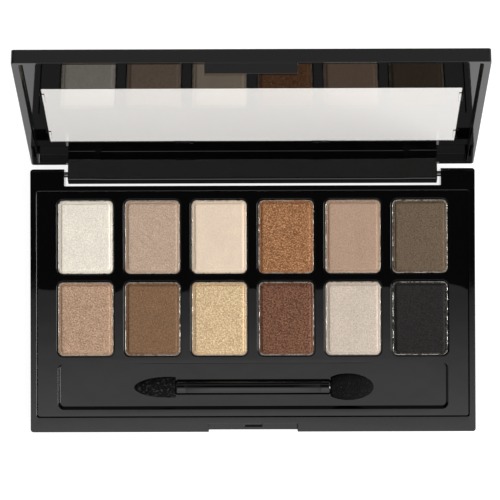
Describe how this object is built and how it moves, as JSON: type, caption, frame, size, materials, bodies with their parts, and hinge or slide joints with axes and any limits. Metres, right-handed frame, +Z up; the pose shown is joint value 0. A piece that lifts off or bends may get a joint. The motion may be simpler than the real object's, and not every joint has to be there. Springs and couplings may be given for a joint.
{
  "type": "eyeshadow palette",
  "caption": "Hinged rectangular makeup palette with a windowed lid, pressed-powder pans in a tray, and a double-ended sponge applicator in its own well.",
  "frame": {"origin": "centre of the base's foot face, midway between the front edge and the backs of the hinge ears", "axes": "+X to the user's right along the hinge, +Y from the front edge to the hinge, +Z up out of the open tray"},
  "size_m": [0.12, 0.0984, 0.0693],
  "materials": {
    "case_black": "high gloss black moulding",
    "tray_black": "gloss black moulding",
    "handle_black": "gloss black",
    "window_clear": "clear polished plastic",
    "pan_tin": "satin tinplate",
    "adhesive": "translucent pad",
    "pin_steel": "drawn steel wire",
    "sponge_black": "open-cell foam, matte",
    "powder_pearl_white": "pressed powder, pearl shimmer",
    "powder_dusty_taupe": "pressed powder, satin",
    "powder_cream": "pressed powder, matte",
    "powder_bronze": "pressed powder, metallic shimmer",
    "powder_mushroom": "pressed powder, matte",
    "powder_dark_olive": "pressed powder, matte",
    "powder_rose_tan": "pressed powder, shimmer",
    "powder_mid_brown": "pressed powder, matte",
    "powder_gold": "pressed powder, metallic shimmer",
    "powder_deep_brown": "pressed powder, fine shimmer",
    "powder_pale_pink": "pressed powder, matte",
    "powder_black": "pressed powder, matte"
  },
  "bodies": {
    "base": {"base_shell": "case_black", "tray": "tray_black", "adhesive_pads": "adhesive", "hinge_pin_left": "pin_steel", "hinge_pin_right": "pin_steel", "pan_1": "pan_tin", "pan_2": "pan_tin", "pan_3": "pan_tin", "pan_4": "pan_tin", "pan_5": "pan_tin", "pan_6": "pan_tin", "pan_7": "pan_tin", "pan_8": "pan_tin", "pan_9": "pan_tin", "pan_10": "pan_tin", "pan_11": "pan_tin", "pan_12": "pan_tin", "shadow_1": "powder_pearl_white", "shadow_2": "powder_dusty_taupe", "shadow_3": "powder_cream", "shadow_4": "powder_bronze", "shadow_5": "powder_mushroom", "shadow_6": "powder_dark_olive", "shadow_7": "powder_rose_tan", "shadow_8": "powder_mid_brown", "shadow_9": "powder_gold", "shadow_10": "powder_deep_brown", "shadow_11": "powder_pale_pink", "shadow_12": "powder_black"},
    "lid": {"lid_frame": "case_black", "lid_window": "window_clear"},
    "applicator": {"applicator_handle": "handle_black", "sponge_oval": "sponge_black", "sponge_tapered": "sponge_black"}
  },
  "joints": [
    {"name": "lid_hinge", "type": "hinge", "parent": "base", "child": "lid", "pos_m": [0, 0.0341, 0.004], "axis": [-1, 0, 0], "range_deg": [-108.5, 0]},
    {"name": "applicator_lift", "type": "slide", "parent": "base", "child": "applicator", "axis": [0, 0, 1], "range_m": [0, 0.03]}
  ]
}
